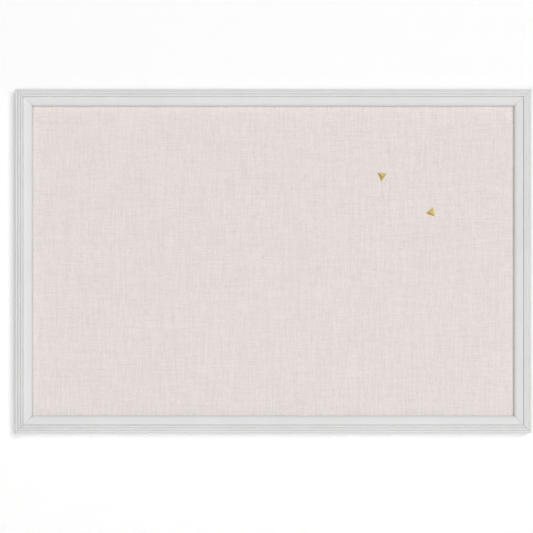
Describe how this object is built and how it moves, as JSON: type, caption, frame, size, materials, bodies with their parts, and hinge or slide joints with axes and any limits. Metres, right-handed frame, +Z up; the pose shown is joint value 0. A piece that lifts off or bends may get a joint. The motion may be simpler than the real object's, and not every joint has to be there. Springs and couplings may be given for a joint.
{
  "type": "framed linen memo board",
  "caption": "Wall-hung memo board: a linen-covered cork panel in a mitred, reeded and painted wooden frame, with pyramid-headed brass push pins and ring hangers behind.",
  "frame": {"origin": "middle of the wall plane that the wall bumpers touch, level with the middle of the frame", "axes": "+X to the viewer's right along the long side, +Y away from the viewer into the wall, +Z up"},
  "size_m": [0.762, 0.0282, 0.508],
  "materials": {
    "painted_wood": "satin white paint",
    "linen": "plain weave, natural slubs",
    "cork": "fine granules",
    "softboard": "raw fibre",
    "hardboard": "screen-marked back",
    "zinc_steel": "zinc plated",
    "brass": "satin brass",
    "rubber": "matt moulded rubber"
  },
  "bodies": {
    "board": {"frame_top_rail": "painted_wood", "frame_right_stile": "painted_wood", "frame_bottom_rail": "painted_wood", "frame_left_stile": "painted_wood", "v_nail_top_right_1": "zinc_steel", "v_nail_top_right_2": "zinc_steel", "v_nail_bottom_right_1": "zinc_steel", "v_nail_bottom_right_2": "zinc_steel", "v_nail_bottom_left_1": "zinc_steel", "v_nail_bottom_left_2": "zinc_steel", "v_nail_top_left_1": "zinc_steel", "v_nail_top_left_2": "zinc_steel", "linen_cover": "linen", "cork_sheet": "cork", "softboard_core": "softboard", "backing_board": "hardboard", "framer_point_top_1": "zinc_steel", "framer_point_top_2": "zinc_steel", "framer_point_top_3": "zinc_steel", "framer_point_top_4": "zinc_steel", "framer_point_right_1": "zinc_steel", "framer_point_right_2": "zinc_steel", "framer_point_right_3": "zinc_steel", "framer_point_bottom_1": "zinc_steel", "framer_point_bottom_2": "zinc_steel", "framer_point_bottom_3": "zinc_steel", "framer_point_bottom_4": "zinc_steel", "framer_point_left_1": "zinc_steel", "framer_point_left_2": "zinc_steel", "framer_point_left_3": "zinc_steel", "left_hanger_strap": "zinc_steel", "left_hanger_screw": "zinc_steel", "right_hanger_strap": "zinc_steel", "right_hanger_screw": "zinc_steel", "left_wall_bumper": "rubber", "right_wall_bumper": "rubber"},
    "upper_pin_needle": {"upper_pin_needle": "zinc_steel"},
    "upper_pin_head": {"upper_pin_head": "brass"},
    "lower_pin_needle": {"lower_pin_needle": "zinc_steel"},
    "lower_pin_head": {"lower_pin_head": "brass"},
    "left_ring": {"left_hanger_ring": "zinc_steel"},
    "right_ring": {"right_hanger_ring": "zinc_steel"}
  },
  "joints": [
    {"name": "upper_pin_pull", "type": "slide", "parent": "board", "child": "upper_pin_needle", "axis": [0, -1, 0], "range_m": [0, 0.012]},
    {"name": "upper_pin_turn", "type": "hinge", "parent": "upper_pin_needle", "child": "upper_pin_head", "pos_m": [0.1606, -0.0156, 0.1257], "axis": [0, -1, 0], "continuous": true},
    {"name": "lower_pin_pull", "type": "slide", "parent": "board", "child": "lower_pin_needle", "axis": [0, -1, 0], "range_m": [0, 0.012]},
    {"name": "lower_pin_turn", "type": "hinge", "parent": "lower_pin_needle", "child": "lower_pin_head", "pos_m": [0.2335, -0.0156, 0.0717], "axis": [0, -1, 0], "continuous": true},
    {"name": "left_ring_swing", "type": "hinge", "parent": "board", "child": "left_ring", "pos_m": [-0.3713, -0.00285, 0.124], "axis": [1, 0, 0], "range_deg": [0, 185]},
    {"name": "right_ring_swing", "type": "hinge", "parent": "board", "child": "right_ring", "pos_m": [0.3713, -0.00285, 0.124], "axis": [1, 0, 0], "range_deg": [0, 185]}
  ]
}
